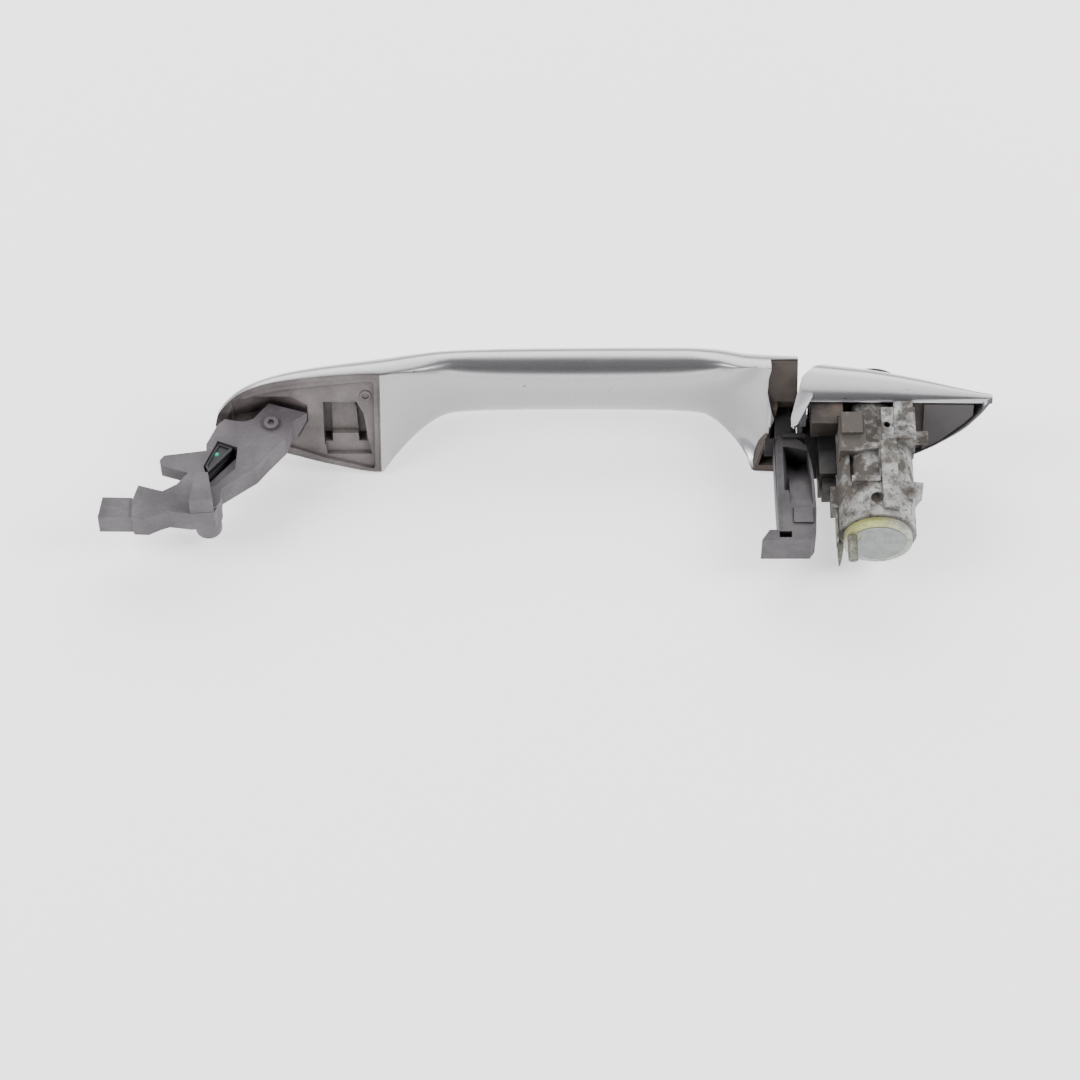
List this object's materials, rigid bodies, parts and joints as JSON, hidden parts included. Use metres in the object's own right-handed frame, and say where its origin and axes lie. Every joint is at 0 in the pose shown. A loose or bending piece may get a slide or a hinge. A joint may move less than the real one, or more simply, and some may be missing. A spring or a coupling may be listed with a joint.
{
  "type": "car door handle",
  "caption": "Pull-type car door handle: painted bow on a front pivot arm, hooked pull leg, and a lock cylinder under a wedge-shaped painted tail cap.",
  "frame": {"origin": "on the handle's pivot axis, at the middle of the pivot arm's thickness", "axes": "+X from the pivot arm along the handle to the lock, +Y outward from the door, +Z along the pivot axis, up as the handle lies on its long edge"},
  "size_m": [0.281, 0.0803, 0.0343],
  "materials": {
    "paint": "metallic silver-grey clear-coated paint",
    "grey_plastic": "matt glass-filled plastic, mid grey",
    "brown_plastic": "matt unpainted plastic, brownish grey",
    "dark_plastic": "matt dark plastic, dusty",
    "black_plastic": "matt black plastic",
    "zinc": "die-cast zinc, dull light grey with brown dirt",
    "yellow_zinc": "yellow passivated zinc",
    "steel": "plain steel",
    "brass": "machined brass",
    "rubber": "black rubber"
  },
  "bodies": {
    "lock_unit": {"cap_cover": "paint", "cap_carrier": "dark_plastic", "carrier_clip": "black_plastic", "lock_housing": "zinc", "spring_blade": "steel", "front_seal": "rubber", "return_spring": "steel"},
    "handle": {"handle_bow": "paint", "front_foot": "brown_plastic", "pivot_arm": "grey_plastic", "arm_insert": "dark_plastic", "arm_screw": "steel", "rear_foot": "dark_plastic", "pull_leg": "grey_plastic", "leg_bumper": "grey_plastic", "leg_screw": "steel"},
    "plug": {"lock_plug": "brass", "plug_face": "steel", "wafers": "brass", "wafer_springs": "steel", "drive_cap": "yellow_zinc", "retaining_ring": "steel", "end_disc": "zinc", "crank_pin": "steel", "shutter_pin": "steel", "shutter_spring": "steel"},
    "shutter": {"key_shutter": "steel"}
  },
  "joints": [
    {"name": "handle_pull", "type": "hinge", "parent": "lock_unit", "child": "handle", "pos_m": [0, 0, 0], "axis": [0, 0, 1], "range_deg": [0, 9]},
    {"name": "key_turn", "type": "hinge", "parent": "lock_unit", "child": "plug", "pos_m": [0.21, 0, 0.003], "axis": [0, 1, 0], "range_deg": [-75, 75], "stiffness_Nm_per_rad": 0.03},
    {"name": "shutter_swing", "type": "hinge", "parent": "plug", "child": "shutter", "pos_m": [0.21, 0.0436, 0.0074], "axis": [-1, 0, 0], "range_deg": [0, 75], "stiffness_Nm_per_rad": 0.0001}
  ]
}
